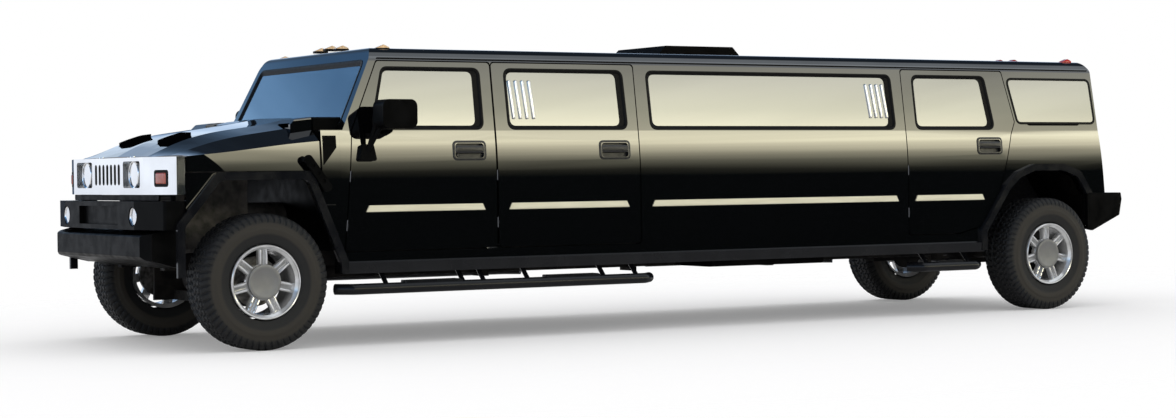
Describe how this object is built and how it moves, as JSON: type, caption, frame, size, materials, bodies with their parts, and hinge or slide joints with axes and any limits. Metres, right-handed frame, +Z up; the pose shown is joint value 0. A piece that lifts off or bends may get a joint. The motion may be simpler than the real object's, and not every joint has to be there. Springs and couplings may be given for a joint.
{
  "type": "stretch limousine",
  "caption": "Long boxy limousine with hinged side doors, front-hinged hood, lifting tailgate, steered front wheels and a hollow cabin.",
  "frame": {"origin": "on the ground, at the middle of the overall length and width", "axes": "+X toward the rear, +Y toward the passenger side (right), +Z up; the front bumper is toward -X"},
  "size_m": [8.2348, 2.45, 2.0559],
  "materials": {
    "black_paint": "high gloss",
    "dark_glass": "tinted",
    "bright_trim": "polished",
    "bright_wheel": "polished",
    "tyre_rubber": "matt",
    "clear_lens": "clear",
    "amber_lens": "gloss",
    "red_lens": "gloss",
    "black_plastic": "satin",
    "black_steel": "satin",
    "bare_metal": "rough",
    "dark_trim": "matt",
    "seat_leather": "soft"
  },
  "bodies": {
    "body": {"amber_lamps": "amber_lens", "bar_cabinet": "dark_trim", "cabin_side_glass": "dark_glass", "chassis_frame": "black_steel", "cowl_panel": "black_plastic", "dashboard": "dark_trim", "drive_shaft": "black_steel", "engine_block": "bare_metal", "exhaust_system": "bare_metal", "fenders": "black_paint", "floor_pan": "dark_trim", "front_bumper": "black_plastic", "front_suspension": "black_steel", "fuel_tank": "dark_trim", "grille_shell": "bright_trim", "lower_cladding": "black_plastic", "partition": "dark_trim", "radiator": "bare_metal", "rear_axle": "black_steel", "rear_bumper": "black_plastic", "red_lamps": "red_lens", "roof_hatch": "black_plastic", "roof_panel": "black_paint", "seats": "seat_leather", "side_panel_left": "black_paint", "side_panel_right": "black_paint", "side_steps": "black_plastic", "side_vents": "black_plastic", "tail_panel": "black_paint", "wheel_liners": "black_plastic", "white_lamps": "clear_lens", "windshield": "dark_glass"},
    "hood": {"hood": "black_paint", "hood_latches": "black_plastic"},
    "tailgate": {"tailgate": "black_paint", "tailgate_glass": "dark_glass"},
    "steering_knuckle_left": {"knuckle_left": "black_steel"},
    "steering_knuckle_right": {"knuckle_right": "black_steel"},
    "front_door_left": {"front_door_left": "black_paint", "front_door_glass_left": "dark_glass", "mirror_left": "black_plastic"},
    "front_door_right": {"front_door_right": "black_paint", "front_door_glass_right": "dark_glass", "mirror_right": "black_plastic"},
    "second_door_left": {"second_door_left": "black_paint", "second_door_glass_left": "dark_glass"},
    "second_door_right": {"second_door_right": "black_paint", "second_door_glass_right": "dark_glass"},
    "rear_door_left": {"rear_door_left": "black_paint", "rear_door_glass_left": "dark_glass"},
    "rear_door_right": {"rear_door_right": "black_paint", "rear_door_glass_right": "dark_glass"},
    "front_wheel_left": {"front_tyre_left": "tyre_rubber", "front_rim_left": "bright_wheel"},
    "front_wheel_right": {"front_tyre_right": "tyre_rubber", "front_rim_right": "bright_wheel"},
    "rear_wheel_left": {"rear_tyre_left": "tyre_rubber", "rear_rim_left": "bright_wheel"},
    "rear_wheel_right": {"rear_tyre_right": "tyre_rubber", "rear_rim_right": "bright_wheel"}
  },
  "joints": [
    {"name": "hood_hinge", "type": "hinge", "parent": "body", "child": "hood", "pos_m": [-3.9695, 0, 1.251], "axis": [0, -1, 0], "range_deg": [0, 60]},
    {"name": "front_door_left_hinge", "type": "hinge", "parent": "body", "child": "front_door_left", "pos_m": [-2.77088, -1.001, 0.79], "axis": [-0.0884, 0, -0.9961], "range_deg": [0, 65]},
    {"name": "front_door_right_hinge", "type": "hinge", "parent": "body", "child": "front_door_right", "pos_m": [-2.77088, 1.001, 0.79], "axis": [0.0884, 0, 0.9961], "range_deg": [0, 65]},
    {"name": "second_door_left_hinge", "type": "hinge", "parent": "body", "child": "second_door_left", "pos_m": [-1.6435, -1.001, 0.79], "axis": [0, 0, -1], "range_deg": [0, 65]},
    {"name": "second_door_right_hinge", "type": "hinge", "parent": "body", "child": "second_door_right", "pos_m": [-1.6435, 1.001, 0.79], "axis": [0, 0, 1], "range_deg": [0, 65]},
    {"name": "rear_door_left_hinge", "type": "hinge", "parent": "body", "child": "rear_door_left", "pos_m": [1.9205, -1.001, 0.79], "axis": [0, 0, -1], "range_deg": [0, 65]},
    {"name": "rear_door_right_hinge", "type": "hinge", "parent": "body", "child": "rear_door_right", "pos_m": [1.9205, 1.001, 0.79], "axis": [0, 0, 1], "range_deg": [0, 65]},
    {"name": "tailgate_hinge", "type": "hinge", "parent": "body", "child": "tailgate", "pos_m": [3.86573, 0, 1.888], "axis": [0, -1, 0], "range_deg": [0, 85]},
    {"name": "steering_left", "type": "hinge", "parent": "body", "child": "steering_knuckle_left", "pos_m": [-3.3575, -0.7735, 0.44], "axis": [0, 0, 1], "range_deg": [-30, 30]},
    {"name": "steering_right", "type": "hinge", "parent": "body", "child": "steering_knuckle_right", "pos_m": [-3.3575, 0.7735, 0.44], "axis": [0, 0, 1], "range_deg": [-30, 30]},
    {"name": "front_wheel_left_spin", "type": "hinge", "parent": "steering_knuckle_left", "child": "front_wheel_left", "pos_m": [-3.3575, -0.8815, 0.44], "axis": [0, 1, 0], "continuous": true},
    {"name": "front_wheel_right_spin", "type": "hinge", "parent": "steering_knuckle_right", "child": "front_wheel_right", "pos_m": [-3.3575, 0.8815, 0.44], "axis": [0, 1, 0], "continuous": true},
    {"name": "rear_wheel_left_spin", "type": "hinge", "parent": "body", "child": "rear_wheel_left", "pos_m": [3.3175, -0.8815, 0.44], "axis": [0, 1, 0], "continuous": true},
    {"name": "rear_wheel_right_spin", "type": "hinge", "parent": "body", "child": "rear_wheel_right", "pos_m": [3.3175, 0.8815, 0.44], "axis": [0, 1, 0], "continuous": true}
  ],
  "couplings": [
    {"joint": "steering_right", "follows": "steering_left", "ratio": 1}
  ]
}
